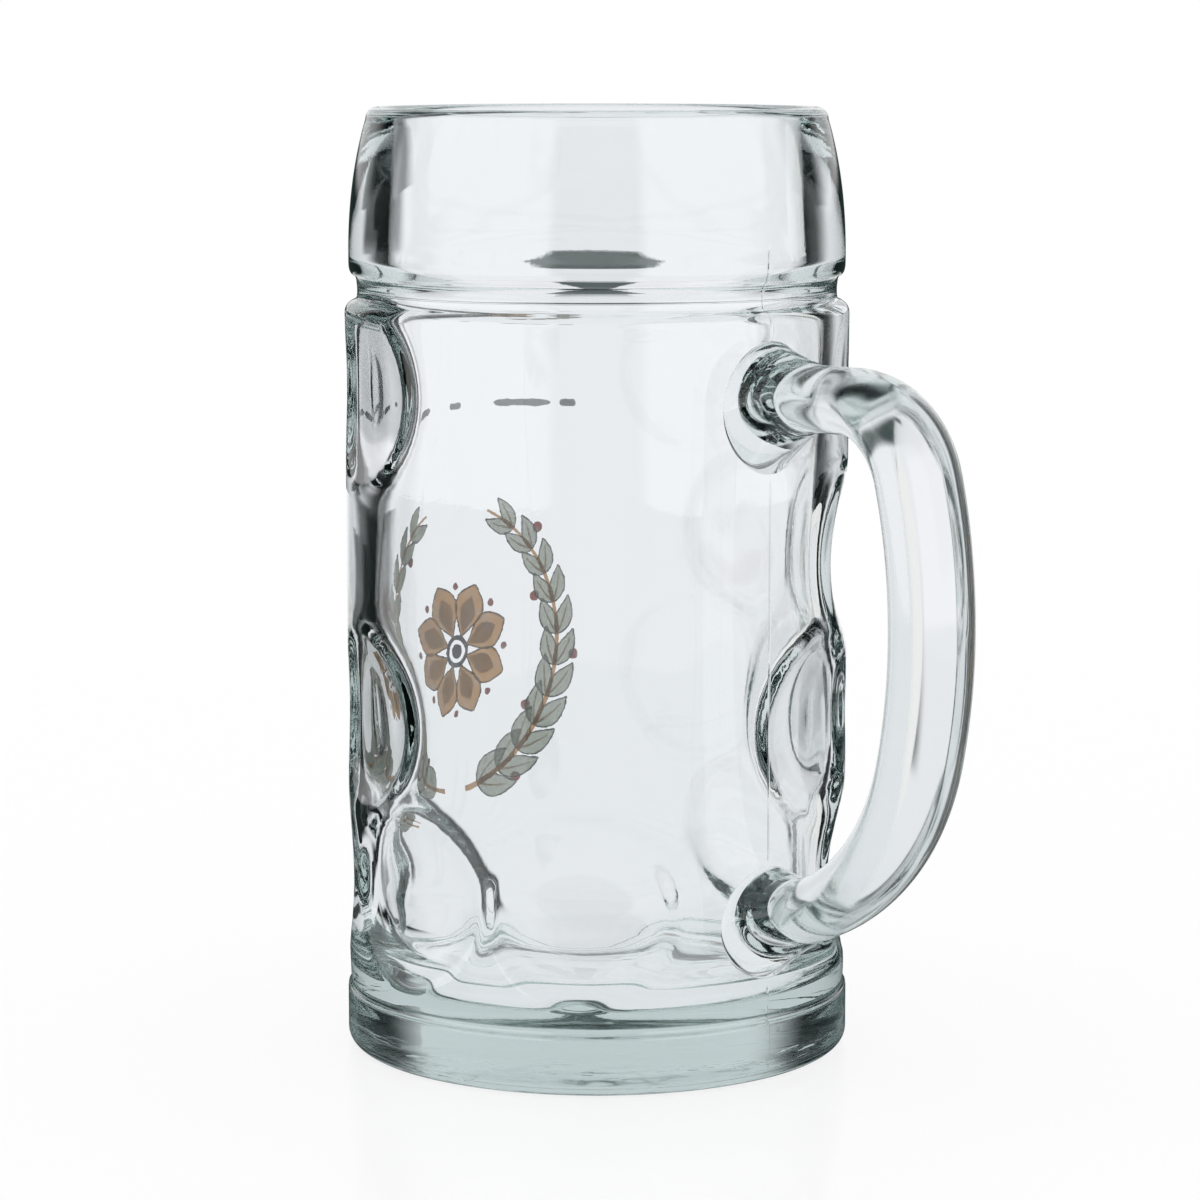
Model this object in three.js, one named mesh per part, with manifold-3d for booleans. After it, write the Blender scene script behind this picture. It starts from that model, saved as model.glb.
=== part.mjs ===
// A dimpled half-litre glass beer mug: a hollow moulded body, a bar handle and fired enamel marks.
// Millimetres, +Z up. The origin is the centre of the underside, and the handle points along +X.
import * as THREE from 'three';
import { mergeVertices } from 'three/addons/utils/BufferGeometryUtils.js';
import Module from 'manifold-3d';

const wasm = await Module();
wasm.setup();

// Outer wall, from the foot to the lip
const MUG_HEIGHT = 157;
const BASE_RADIUS = 42.2;
const BASE_BAND_HEIGHT = 10;
const FOOT_ROUNDING = 2.5;
const BASE_STEP_HEIGHT = 0.8;
const BODY_RADIUS = 41.9;
const BODY_TOP = 123;
const NECK_RADIUS = 39.7;
const NECK_HEIGHT = 127;
const COLLAR_BOTTOM = 130;
const COLLAR_RADIUS = 41.2;
const COLLAR_LEAN_START = 135;
const LIP_ROUNDING = 1.9;
const LIP_RADIUS = 36.3;

// Inner wall, with a ledge where it narrows behind the collar
const WALL = 4.8;
const COLLAR_INSIDE = 34.6;
const LEDGE_TOP = 132;
const LEDGE_BOTTOM = 120;
const FLOOR_HEIGHT = 12;
const FLOOR_FILLET = 9;

// Thumbprint dimples pressed into the wall. Their angles are in degrees from the handle.
const DIMPLE_HALF_WIDTH = 16;
const DIMPLE_HALF_HEIGHT = 14.4;
const DIMPLE_DEPTH = 3;
const DIMPLE_STEEPNESS = 3.4;
const DIMPLE_EDGE_SOFTNESS = 0.4;
const DIMPLE_ROWS = [
  { height: 29.5, angles: [46, 92, 220, 270.5, 315] },
  { height: 57, angles: [21.5, 66, 111, 249] },
  { height: 83, angles: [47, 92] },
  { height: 111, angles: [66, 111, 249] },
];

// The share of a dimple's depth that shows inside grows from the thick foot upwards
const INNER_SHARE_LOW = 0.4;
const INNER_SHARE_HIGH = 0.9;
const INNER_SHARE_START = 24;
const INNER_SHARE_END = 44;

// Handle: an oval bar on a spine of straights and arcs, flared where it joins the wall
const HANDLE_THICKNESS = 10.7;
const HANDLE_WIDTH = 16;
const HANDLE_TOP = 112.2;
const HANDLE_ARM_END = 60.2;
const HANDLE_BENDS = [
  { radius: 14.9, turn: 74.5 },
  { radius: 90, turn: 28.7 },
  { radius: 37.1, turn: 56.7 },
];
const HANDLE_ROOT_RADIUS = 38;
const HANDLE_FLARE_LENGTH = 4;
const HANDLE_FLARE_SHARPNESS = 1.5;
const HANDLE_FLARE_SIDEWAYS = 2;
const UPPER_FLARE = { outer: 2.7, inner: 6.5 };
const LOWER_FLARE = { outer: 2.9, inner: 3.2 };

// Enamel: thin coats that follow the wall on the side away from the handle
const ENAMEL_THICKNESS = 0.3;
const FILL_LINE_HEIGHT = 104.7;
const FILL_LINE_WIDTH = 1.2;
const FILL_DASHES = [
  { name: 'fill_dash_centre', turn: 0, length: 3.2 },
  { name: 'fill_dash_left', turn: 21, length: 11.2 },
  { name: 'fill_dash_right', turn: -21, length: 11.2 },
  { name: 'fill_dash_left_end', turn: 33, length: 2.8 },
  { name: 'fill_dash_right_end', turn: -33, length: 2.8 },
];
const EMBLEM_HEIGHT = 62;
const WREATH_HALF_WIDTH = 25.5;
const WREATH_HALF_HEIGHT = 30;
const WREATH_BAND = 9.5;
const ROSETTE_RADIUS = 12;

const GAP = 0.3;

// Mesh fineness
const BODY_SEGMENTS = 64;
const BODY_RINGS = 28;
const INSIDE_RINGS = 24;
const PROFILE_CURVE_STEPS = 4;
const HANDLE_SEGMENTS = 20;
const HANDLE_RINGS = 44;
const ENAMEL_SEGMENTS = 96;
const OUTLINE_CURVE_STEPS = 16;
const SAME_POINT = 1e-4;

const INSIDE_RADIUS = BODY_RADIUS - WALL;
const FILLET_TOP = FLOOR_HEIGHT + FLOOR_FILLET;
const BODY_BOTTOM = BASE_BAND_HEIGHT + BASE_STEP_HEIGHT;

const glass = new THREE.MeshStandardMaterial({ color: 0xdfe8e8, roughness: 0.04, metalness: 0 });
const greyEnamel = new THREE.MeshStandardMaterial({ color: 0x8b9496, roughness: 0.4, metalness: 0 });
const greenEnamel = new THREE.MeshStandardMaterial({ color: 0x8f9a8a, roughness: 0.35, metalness: 0 });
const ochreEnamel = new THREE.MeshStandardMaterial({ color: 0xb7854f, roughness: 0.35, metalness: 0 });

function solidFrom(geometry) {
  const bare = geometry.clone();
  bare.deleteAttribute('normal');
  bare.deleteAttribute('uv');
  const merged = mergeVertices(bare, SAME_POINT);
  const vertProperties = new Float32Array(merged.attributes.position.array);
  const triVerts = new Uint32Array(merged.index.array);
  return new wasm.Manifold(new wasm.Mesh({ numProp: 3, vertProperties, triVerts }));
}

function geometryFrom(solid) {
  const { vertProperties, triVerts } = solid.getMesh();
  const geometry = new THREE.BufferGeometry();
  geometry.setAttribute('position', new THREE.BufferAttribute(vertProperties, 3));
  geometry.setIndex(new THREE.BufferAttribute(triVerts, 1));
  geometry.computeVertexNormals();
  return geometry;
}

function piece(name, geometry, material) {
  const mesh = new THREE.Mesh(geometry, material);
  mesh.name = name;
  return mesh;
}

// A lathe turns its profile about Y, so the result is stood up on Z.
function turned(profile, segments) {
  return new THREE.LatheGeometry(profile, segments).rotateX(Math.PI / 2);
}

// Wall profile as (radius, height), up the outside, over the lip and down the inside to the axis.
function bodyProfile() {
  const wall = new THREE.Path();
  wall.moveTo(0, 0);
  wall.lineTo(BASE_RADIUS - FOOT_ROUNDING, 0);
  wall.quadraticCurveTo(BASE_RADIUS, 0, BASE_RADIUS, FOOT_ROUNDING);
  wall.lineTo(BASE_RADIUS, BASE_BAND_HEIGHT - BASE_STEP_HEIGHT);
  for (let ring = 0; ring <= BODY_RINGS; ring += 1) {
    wall.lineTo(BODY_RADIUS, THREE.MathUtils.lerp(BODY_BOTTOM, BODY_TOP, ring / BODY_RINGS));
  }
  wall.quadraticCurveTo(NECK_RADIUS, (BODY_TOP + NECK_HEIGHT) / 2, NECK_RADIUS, NECK_HEIGHT);
  wall.quadraticCurveTo(NECK_RADIUS, COLLAR_BOTTOM, COLLAR_RADIUS, COLLAR_BOTTOM);
  wall.lineTo(COLLAR_RADIUS, COLLAR_LEAN_START);
  const lipHeight = MUG_HEIGHT - LIP_ROUNDING;
  const leanMiddle = (COLLAR_LEAN_START + lipHeight) / 2;
  wall.quadraticCurveTo(COLLAR_RADIUS, leanMiddle, LIP_RADIUS + LIP_ROUNDING, lipHeight);
  wall.absarc(LIP_RADIUS, lipHeight, LIP_ROUNDING, 0, Math.PI, false);
  wall.lineTo(COLLAR_INSIDE, LEDGE_TOP);
  const ledgeRadius = (COLLAR_INSIDE + INSIDE_RADIUS) / 2;
  const ledgeHeight = (LEDGE_TOP + LEDGE_BOTTOM) / 2;
  const ledgeBend = (LEDGE_TOP - LEDGE_BOTTOM) / 4;
  wall.quadraticCurveTo(COLLAR_INSIDE, ledgeHeight + ledgeBend, ledgeRadius, ledgeHeight);
  wall.quadraticCurveTo(INSIDE_RADIUS, ledgeHeight - ledgeBend, INSIDE_RADIUS, LEDGE_BOTTOM);
  for (let ring = 1; ring <= INSIDE_RINGS; ring += 1) {
    wall.lineTo(INSIDE_RADIUS, THREE.MathUtils.lerp(LEDGE_BOTTOM, FILLET_TOP, ring / INSIDE_RINGS));
  }
  wall.absarc(INSIDE_RADIUS - FLOOR_FILLET, FILLET_TOP, FLOOR_FILLET, 0, -Math.PI / 2, true);
  wall.lineTo(0, FLOOR_HEIGHT);
  return wall.getPoints(PROFILE_CURVE_STEPS);
}

// How far one dimple sinks the wall, at a distance of 0 in its middle and 1 on its rim.
function dimpleDepth(distance) {
  const bowl = DIMPLE_DEPTH * (1 - distance ** DIMPLE_STEEPNESS);
  return (bowl + Math.hypot(bowl, DIMPLE_EDGE_SOFTNESS)) / 2;
}

function sinkAt(angle, height) {
  let sink = 0;
  for (const row of DIMPLE_ROWS) {
    for (const degrees of row.angles) {
      const away = angle - THREE.MathUtils.degToRad(degrees);
      const turn = Math.atan2(Math.sin(away), Math.cos(away));
      const across = (turn * BODY_RADIUS) / DIMPLE_HALF_WIDTH;
      const up = (height - row.height) / DIMPLE_HALF_HEIGHT;
      sink = Math.max(sink, dimpleDepth(Math.hypot(across, up)));
    }
  }
  return sink;
}

// Share of the dimples' depth that a point of the wall follows: all of it outside, part of it inside.
function dimpleShare(radius, height) {
  if (Math.abs(radius - BODY_RADIUS) < SAME_POINT) {
    return height > BODY_BOTTOM && height < BODY_TOP ? 1 : 0;
  }
  if (radius > INSIDE_RADIUS + SAME_POINT || height <= FILLET_TOP || height > LEDGE_TOP) {
    return 0;
  }
  const rise = THREE.MathUtils.smoothstep(height, INNER_SHARE_START, INNER_SHARE_END);
  const onLedge = (radius - COLLAR_INSIDE) / (INSIDE_RADIUS - COLLAR_INSIDE);
  return onLedge * THREE.MathUtils.lerp(INNER_SHARE_LOW, INNER_SHARE_HIGH, rise);
}

function mugBody() {
  const geometry = turned(bodyProfile(), BODY_SEGMENTS);
  const { position } = geometry.attributes;
  const point = new THREE.Vector3();
  for (let i = 0; i < position.count; i += 1) {
    point.fromBufferAttribute(position, i);
    const radius = Math.hypot(point.x, point.y);
    const share = dimpleShare(radius, point.z);
    if (share > 0) {
      const scale = 1 - (share * sinkAt(Math.atan2(point.y, point.x), point.z)) / radius;
      position.setXYZ(i, point.x * scale, point.y * scale, point.z);
    }
  }
  return piece('mug_body', geometryFrom(solidFrom(geometry)), glass);
}

// Spine of the handle as (radius, height): out along the arm, round three bends, back to the wall.
function handleSpine() {
  const spine = new THREE.CurvePath();
  const at = new THREE.Vector2(HANDLE_ARM_END, HANDLE_TOP);
  spine.add(new THREE.LineCurve(new THREE.Vector2(HANDLE_ROOT_RADIUS, HANDLE_TOP), at.clone()));
  let normal = Math.PI / 2;
  for (const { radius, turn } of HANDLE_BENDS) {
    const end = normal - THREE.MathUtils.degToRad(turn);
    const outward = new THREE.Vector2(Math.cos(normal), Math.sin(normal));
    const centre = at.clone().addScaledVector(outward, -radius);
    spine.add(new THREE.EllipseCurve(centre.x, centre.y, radius, radius, normal, end, true));
    at.set(centre.x + radius * Math.cos(end), centre.y + radius * Math.sin(end));
    normal = end;
  }
  const along = new THREE.Vector2(Math.sin(normal), -Math.cos(normal));
  const run = (HANDLE_ROOT_RADIUS - at.x) / along.x;
  spine.add(new THREE.LineCurve(at.clone(), at.clone().addScaledVector(along, run)));
  return spine;
}

function handle() {
  const spine = handleSpine();
  const length = spine.getLength();
  const rings = [];
  for (let ring = 0; ring <= HANDLE_RINGS; ring += 1) {
    const u = ring / HANDLE_RINGS;
    const centre = spine.getPointAt(u);
    const tangent = spine.getTangentAt(u);
    const toWall = Math.max(0, Math.min(u, 1 - u) * length - (BODY_RADIUS - HANDLE_ROOT_RADIUS));
    const fade = Math.exp(-((toWall / HANDLE_FLARE_LENGTH) ** HANDLE_FLARE_SHARPNESS));
    const flare = u < 0.5 ? UPPER_FLARE : LOWER_FLARE;
    const outer = HANDLE_THICKNESS / 2 + flare.outer * fade;
    const inner = HANDLE_THICKNESS / 2 + flare.inner * fade;
    const wide = HANDLE_WIDTH / 2 + HANDLE_FLARE_SIDEWAYS * fade;
    rings.push({ centre, tangent, outer, inner, wide });
  }
  const positions = [];
  for (const { centre, tangent, outer, inner, wide } of rings) {
    for (let side = 0; side < HANDLE_SEGMENTS; side += 1) {
      const turn = (2 * Math.PI * side) / HANDLE_SEGMENTS;
      const out = (Math.cos(turn) > 0 ? outer : inner) * Math.cos(turn);
      positions.push(centre.x - tangent.y * out, wide * Math.sin(turn), centre.y + tangent.x * out);
    }
  }
  const index = [];
  for (let ring = 0; ring < HANDLE_RINGS; ring += 1) {
    for (let side = 0; side < HANDLE_SEGMENTS; side += 1) {
      const a = ring * HANDLE_SEGMENTS + side;
      const b = ring * HANDLE_SEGMENTS + ((side + 1) % HANDLE_SEGMENTS);
      index.push(a, a + HANDLE_SEGMENTS, b, b, a + HANDLE_SEGMENTS, b + HANDLE_SEGMENTS);
    }
  }
  const last = HANDLE_RINGS * HANDLE_SEGMENTS;
  for (let side = 1; side < HANDLE_SEGMENTS - 1; side += 1) {
    index.push(0, side, side + 1, last, last + side + 1, last + side);
  }
  const geometry = new THREE.BufferGeometry();
  geometry.setAttribute('position', new THREE.Float32BufferAttribute(positions, 3));
  geometry.setIndex(index);
  const core = new THREE.CylinderGeometry(BODY_RADIUS + GAP, BODY_RADIUS + GAP, MUG_HEIGHT, BODY_SEGMENTS);
  core.rotateX(Math.PI / 2).rotateZ(Math.PI / 2).translate(0, 0, MUG_HEIGHT / 2);
  return piece('handle', geometryFrom(solidFrom(geometry).subtract(solidFrom(core))), glass);
}

// A coat of enamel round the whole wall, from which the printed shapes are taken.
function enamelCoat() {
  const inner = BODY_RADIUS + GAP;
  const outer = inner + ENAMEL_THICKNESS;
  const section = [
    new THREE.Vector2(inner, BASE_BAND_HEIGHT),
    new THREE.Vector2(outer, BASE_BAND_HEIGHT),
    new THREE.Vector2(outer, BODY_TOP),
    new THREE.Vector2(inner, BODY_TOP),
  ];
  section.push(section[0].clone());
  return solidFrom(turned(section, ENAMEL_SEGMENTS));
}

// Printed shape seen from -X: the outline is drawn across and up, and cut through the coat.
function printed(name, coat, outline, material) {
  const depth = BODY_RADIUS;
  const options = { depth, bevelEnabled: false, curveSegments: OUTLINE_CURVE_STEPS };
  const prism = new THREE.ExtrudeGeometry(outline, options);
  prism.rotateX(Math.PI / 2).rotateZ(-Math.PI / 2).translate(-depth / 2, 0, EMBLEM_HEIGHT);
  return piece(name, geometryFrom(coat.intersect(solidFrom(prism))), material);
}

function emblem(coat) {
  const wreath = new THREE.Shape();
  wreath.absellipse(0, 0, WREATH_HALF_WIDTH, WREATH_HALF_HEIGHT, 0, 2 * Math.PI);
  const opening = new THREE.Path();
  const openWidth = WREATH_HALF_WIDTH - WREATH_BAND;
  opening.absellipse(0, 0, openWidth, WREATH_HALF_HEIGHT - WREATH_BAND, 0, 2 * Math.PI);
  wreath.holes.push(opening);
  const rosette = new THREE.Shape();
  rosette.absarc(0, 0, ROSETTE_RADIUS, 0, 2 * Math.PI);
  return [
    printed('emblem_wreath', coat, wreath, greenEnamel),
    printed('emblem_rosette', coat, rosette, ochreEnamel),
  ];
}

function fillDash(coat, { name, turn, length }) {
  const block = new THREE.BoxGeometry(BODY_RADIUS / 2, length, FILL_LINE_WIDTH);
  block.translate(-BODY_RADIUS, 0, FILL_LINE_HEIGHT).rotateZ(THREE.MathUtils.degToRad(turn));
  return piece(name, geometryFrom(coat.intersect(solidFrom(block))), greyEnamel);
}

const mug = new THREE.Group();
const coat = enamelCoat();
mug.add(mugBody(), handle(), ...emblem(coat));
for (const dash of FILL_DASHES) {
  mug.add(fillDash(coat, dash));
}

export default mug;
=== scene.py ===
"""Looks of a dimpled glass beer mug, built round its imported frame. Metres, +Z up, handle along +X."""
import math

import bpy
import numpy as np
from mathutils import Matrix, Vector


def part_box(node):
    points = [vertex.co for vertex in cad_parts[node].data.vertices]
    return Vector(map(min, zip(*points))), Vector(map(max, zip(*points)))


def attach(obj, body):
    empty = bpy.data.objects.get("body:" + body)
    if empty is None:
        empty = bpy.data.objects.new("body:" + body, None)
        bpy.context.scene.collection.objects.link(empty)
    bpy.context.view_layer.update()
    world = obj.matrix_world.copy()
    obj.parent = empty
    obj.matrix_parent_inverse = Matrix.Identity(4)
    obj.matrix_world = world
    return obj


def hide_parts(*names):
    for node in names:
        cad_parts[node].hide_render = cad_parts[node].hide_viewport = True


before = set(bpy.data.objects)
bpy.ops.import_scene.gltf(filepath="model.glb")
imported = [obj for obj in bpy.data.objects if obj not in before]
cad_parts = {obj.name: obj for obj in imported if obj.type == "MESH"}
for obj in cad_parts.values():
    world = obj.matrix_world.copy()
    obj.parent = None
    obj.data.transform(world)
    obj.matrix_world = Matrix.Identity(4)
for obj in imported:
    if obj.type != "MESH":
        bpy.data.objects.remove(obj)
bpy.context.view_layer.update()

bl_info = {
    "name": "Dimpled Beer Mug",
    "version": (1, 0, 0),
    "blender": (4, 5, 0),
    "location": "View3D > Sidebar > Mug",
    "description": "Builds a moulded glass beer mug with a bar handle and fired enamel marks",
    "category": "Add Mesh",
}

MM = 0.001
ROOT_BODY = "root"
BODY_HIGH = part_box("mug_body")[1]
MUG_HEIGHT = BODY_HIGH.z
BASE_RADIUS = BODY_HIGH.y
WREATH_LOW, WREATH_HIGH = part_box("emblem_wreath")
ROSETTE_LOW, ROSETTE_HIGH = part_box("emblem_rosette")
FILL_DASHES = (
    "fill_dash_centre",
    "fill_dash_left",
    "fill_dash_right",
    "fill_dash_left_end",
    "fill_dash_right_end",
)
SHARP_EDGE = math.radians(75)
SENSOR_WIDTH = 36


def length(name, description, default):
    """A size property, shown in the scene's length unit."""
    return bpy.props.FloatProperty(name=name, description=description, default=default, unit="LENGTH")


def colour(name, description, default):
    """A colour property, in linear light."""
    return bpy.props.FloatVectorProperty(
        name=name, description=description, default=default, subtype="COLOR", size=3, min=0, max=1
    )


def turning(name, description, degrees):
    """An angle property, given in degrees."""
    return bpy.props.FloatProperty(
        name=name, description=description, default=math.radians(degrees), subtype="ANGLE"
    )


class MugBodySettings(bpy.types.PropertyGroup):
    """Sizes of the moulded body and the colour of its glass."""

    body_radius: length("Body Radius", "Outside of the wall between the dimples", 41.9 * MM)
    band_height: length("Base Band Height", "Top of the plain band round the foot", 10 * MM)
    neck_height: length("Neck Height", "Deepest point of the groove under the collar", 127 * MM)
    neck_radius: length("Neck Radius", "Radius at the bottom of the groove", 39.7 * MM)
    collar_radius: length("Collar Radius", "Widest part of the drinking collar", 41.2 * MM)
    lip_radius: length("Lip Radius", "Centre line of the rounded lip", 36.3 * MM)
    lip_rounding: length("Lip Rounding", "Radius of the lip's rounding", 1.9 * MM)
    wall: length("Wall", "Thickness of the glass between the dimples", 4.8 * MM)
    collar_inside: length("Collar Inside", "Inner radius behind the collar", 34.6 * MM)
    floor_height: length("Floor Height", "Thickness of the glass in the base", 12 * MM)
    dimple_half_width: length("Dimple Half Width", "Half the width of a thumbprint dimple", 16 * MM)
    dimple_half_height: length("Dimple Half Height", "Half the height of a thumbprint dimple", 14.4 * MM)
    dimple_depth: length("Dimple Depth", "How deep a dimple is", 3 * MM)
    dimple_steepness: bpy.props.FloatProperty(
        name="Dimple Steepness",
        description="Power of the dimple's bowl: flatter in the middle, steeper at the rim",
        default=3.4,
    )
    seam_height: length("Seam Height", "Height of the mould seam", 0.07 * MM)
    tint: colour("Tint", "Colour that thick glass takes", (0.17, 0.4, 0.36))
    tint_density: bpy.props.FloatProperty(
        name="Tint Density", description="How strongly thick glass is tinted, per metre", default=7.5
    )


class MugHandleSettings(bpy.types.PropertyGroup):
    """Sizes of the bar handle."""

    thickness: length("Thickness", "Depth of the oval bar, in the handle's plane", 10.7 * MM)
    width: length("Width", "Width of the oval bar, across the handle's plane", 16 * MM)
    arm_height: length("Arm Height", "Centre of the upper arm", 112.2 * MM)
    arm_end: length("Arm End", "Where the upper arm starts to bend, from the axis", 60.2 * MM)


class MugEnamelSettings(bpy.types.PropertyGroup):
    """Colours of the fired enamel."""

    coat: length("Coat", "Thickness of one coat of enamel", 0.05 * MM)
    green: colour("Leaf Green", "Wreath leaves", (0.66, 0.70, 0.60))
    ochre: colour("Ochre", "Stems, veins and outer petals", (0.85, 0.46, 0.17))
    grey: colour("Grey", "Fill mark", (0.27, 0.3, 0.31))
    ink: colour("Ink", "Thin outlines and the middle of the flower", (0.04, 0.04, 0.045))
    white: colour("White", "Inner petals", (0.72, 0.73, 0.71))
    red: colour("Red", "Berries and spots", (0.36, 0.06, 0.05))


class MugStageSettings(bpy.types.PropertyGroup):
    """Camera and studio."""

    camera_azimuth: turning("Azimuth", "Camera's turn about the mug", 48.7)
    camera_tilt: turning("Tilt", "Camera's tilt below the level", 7.966)
    camera_yaw: turning("Yaw", "Camera's turn off the mug's axis", 0.043)
    camera_distance: length("Distance", "Camera from the mug's axis, level", 664.7 * MM)
    camera_height: length("Height", "Camera above the floor", 167.8 * MM)
    lens: bpy.props.FloatProperty(
        name="Lens", description="Focal length in millimetres", default=119.9, unit="CAMERA"
    )
    panel: colour("Panel", "Backdrop and white panels round the set", (0.935, 0.93, 0.965))
    drape: colour("Drape", "Dark gaps beside the backdrop", (0.008, 0.009, 0.009))
    ceiling: colour("Ceiling", "Dark ceiling of the studio", (0.03, 0.052, 0.047))


class Wire:
    """A socket of a shader tree. Python's operators on it add Math nodes, and node() adds any other."""

    def __init__(self, tree, socket=None):
        self.tree = tree
        self.socket = socket

    def node(self, kind, settings=None, inputs=None, output=0):
        """Adds a node of that kind, sets it up, fills its inputs and gives one of its outputs."""
        made = self.tree.nodes.new(kind)
        for key, value in (settings or {}).items():
            setattr(made, key, value)
        for key, value in (inputs or {}).items():
            if isinstance(value, Wire):
                self.tree.links.new(value.socket, made.inputs[key])
            else:
                made.inputs[key].default_value = value
        return Wire(self.tree, made.outputs[output] if made.outputs else None)

    def math(self, operation, *values):
        """A Math node over the values."""
        return self.node("ShaderNodeMath", {"operation": operation}, dict(enumerate(values)))

    def __add__(self, other):
        return self.math("ADD", self, other)

    def __sub__(self, other):
        return self.math("SUBTRACT", self, other)

    def __rsub__(self, other):
        return self.math("SUBTRACT", other, self)

    def __mul__(self, other):
        return self.math("MULTIPLY", self, other)

    def __truediv__(self, other):
        return self.math("DIVIDE", self, other)

    def __lt__(self, other):
        return self.math("LESS_THAN", self, other)

    __radd__ = __add__
    __rmul__ = __mul__

    def smoothstep(self, low, high):
        """0 below low, 1 above high, eased between."""
        return self.node(
            "ShaderNodeMapRange",
            {"interpolation_type": "SMOOTHSTEP"},
            {"Value": self, "From Min": low, "From Max": high},
        )

    def xyz(self):
        """The three parts of a vector."""
        return [self.node("ShaderNodeSeparateXYZ", None, {0: self}, part) for part in range(3)]


def new_tree(name):
    """An empty material and the start of its shader tree."""
    material = bpy.data.materials.new(name)
    material.use_nodes = True
    material.node_tree.nodes.clear()
    return material, Wire(material.node_tree)


def mixed(tree, factor, first, second):
    """One colour that goes over to another."""
    colours = [value if isinstance(value, Wire) else (*value, 1) for value in (first, second)]
    inputs = {"Factor": factor, "A": colours[0], "B": colours[1]}
    return tree.node("ShaderNodeMix", {"data_type": "RGBA"}, inputs, "Result")


def noise(place, scale, detail, **more):
    """Noise over a surface, about 0 to 1."""
    inputs = {"Vector": place, "Scale": scale, "Detail": detail, **more}
    return place.node("ShaderNodeTexNoise", None, inputs)


def bumped(height, strength, distance, **more):
    """A normal that a height tilts. Given as Normal, another one is tilted further."""
    inputs = {"Height": height, "Strength": strength, "Distance": distance, **more}
    return height.node("ShaderNodeBump", None, inputs)


def eased(values, low, high):
    """0 below low, 1 above high, and 3 t^2 - 2 t^3 between, with t the share of the way."""
    t = np.clip((values - low) / (high - low), 0.0, 1.0)
    return t * t * (3 - 2 * t)


def skin(rings, poles=None):
    """Closed surface over rings (rows, columns, 3). Columns close on themselves.

    With poles, a point at each end closes the first and the last ring by a fan. Without, the rows close too.
    """
    rows, columns = rings.shape[:2]
    points = rings.reshape(-1, 3)
    row, column = np.meshgrid(np.arange(rows - (poles is not None)), np.arange(columns), indexing="ij")
    across = (column + 1) % columns
    below = (row + 1) % rows
    here, under = row * columns, below * columns
    corners = (here + column, here + across, under + across, under + column)
    faces = np.stack(corners, -1).reshape(-1, 4).tolist()
    if poles is not None:
        first = len(points)
        points = np.concatenate([points, np.asarray(poles, float)])
        ring = np.arange(columns)
        following = (ring + 1) % columns
        last = (rows - 1) * columns
        faces += np.stack([following, ring, np.full(columns, first)], -1).tolist()
        faces += np.stack([last + ring, last + following, np.full(columns, first + 1)], -1).tolist()
    return points, faces


def joined(surfaces):
    """Several closed surfaces as one list of points and faces."""
    points, faces, count = [], [], 0
    for some_points, some_faces in surfaces:
        points.append(some_points)
        faces += [[corner + count for corner in face] for face in some_faces]
        count += len(some_points)
    return np.concatenate(points), faces


def add_piece(name, surface, material, nodes=()):
    """Makes the mesh object of a piece, which rides on the mug and may stand for nodes of the frame."""
    points, faces = surface
    mesh = bpy.data.meshes.new(name)
    mesh.from_pydata(points, [], faces)
    mesh.validate()
    mesh.polygons.foreach_set("use_smooth", np.ones(len(mesh.polygons), bool))
    mesh.set_sharp_from_angle(angle=SHARP_EDGE)
    mesh.materials.append(material)
    piece = bpy.data.objects.new(name, mesh)
    bpy.context.scene.collection.objects.link(piece)
    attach(piece, ROOT_BODY)
    if nodes:
        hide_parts(*nodes)
    return piece


# Places of the dimples: height, and the angles where a dimple sits, in degrees from the handle
DIMPLE_ROWS = (
    (29.5 * MM, (46, 92, 220, 270.5, 315)),
    (57.0 * MM, (21.5, 66, 111, 249)),
    (83.0 * MM, (47, 92)),
    (111.0 * MM, (66, 111, 249)),
)

# Where the handle's ends join the wall: height, half width and half height of each oval joint
UPPER_JOINT = (110.0 * MM, 9.4 * MM, 10.6 * MM)
LOWER_JOINT = (26.5 * MM, 9.4 * MM, 9.2 * MM)
JOINT_GAP = 0.008 * MM
JOINT_FADE = 0.3

# Rings along the handle: on the bar, in each fillet and in each cap on the wall
BAR_RINGS, ROOT_RINGS, CAP_RINGS = 150, 18, 9


def turn_between(angle, middle):
    """Smallest turn from middle to angle, between -pi and pi."""
    return (angle - middle + math.pi) % math.tau - math.pi


def dimple_sink(settings, angle, height, softness):
    """How far the dimples sink the wall.

    One dimple is a bowl b = D (1 - d^p) of the distance d = |(u/U, v/V)|, u along the wall and v up from its
    middle, with its rim eased to (b + sqrt(b^2 + s^2)) / 2. The deepest one counts.
    """
    sink = np.zeros(np.broadcast(angle, height).shape)
    for row_height, places in DIMPLE_ROWS:
        for place in places:
            turn = turn_between(angle, math.radians(place))
            along = turn * settings.body_radius / settings.dimple_half_width
            up = (height - row_height) / settings.dimple_half_height
            bowl = settings.dimple_depth * (1 - np.hypot(along, up) ** settings.dimple_steepness)
            sink = np.maximum(sink, (bowl + np.hypot(bowl, softness)) / 2)
    return sink


def arc(centre, radius, start, end, steps):
    """Points (radius, height) of an arc, angles in degrees from the outward direction."""
    turn = np.radians(np.linspace(start, end, steps))
    return np.stack([centre[0] + radius * np.cos(turn), centre[1] + radius * np.sin(turn)], -1)


def bend(first, corner, last, steps):
    """Points (radius, height) of a quadratic curve from first to last, drawn to corner."""
    t = np.linspace(0, 1, steps)[:, None]
    return (1 - t) ** 2 * np.array(first) + 2 * t * (1 - t) * np.array(corner) + t**2 * np.array(last)


def straight(first, last, steps):
    """Points (radius, height) on a line."""
    return np.array(first) + np.linspace(0, 1, steps)[:, None] * (np.array(last) - np.array(first))


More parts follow.
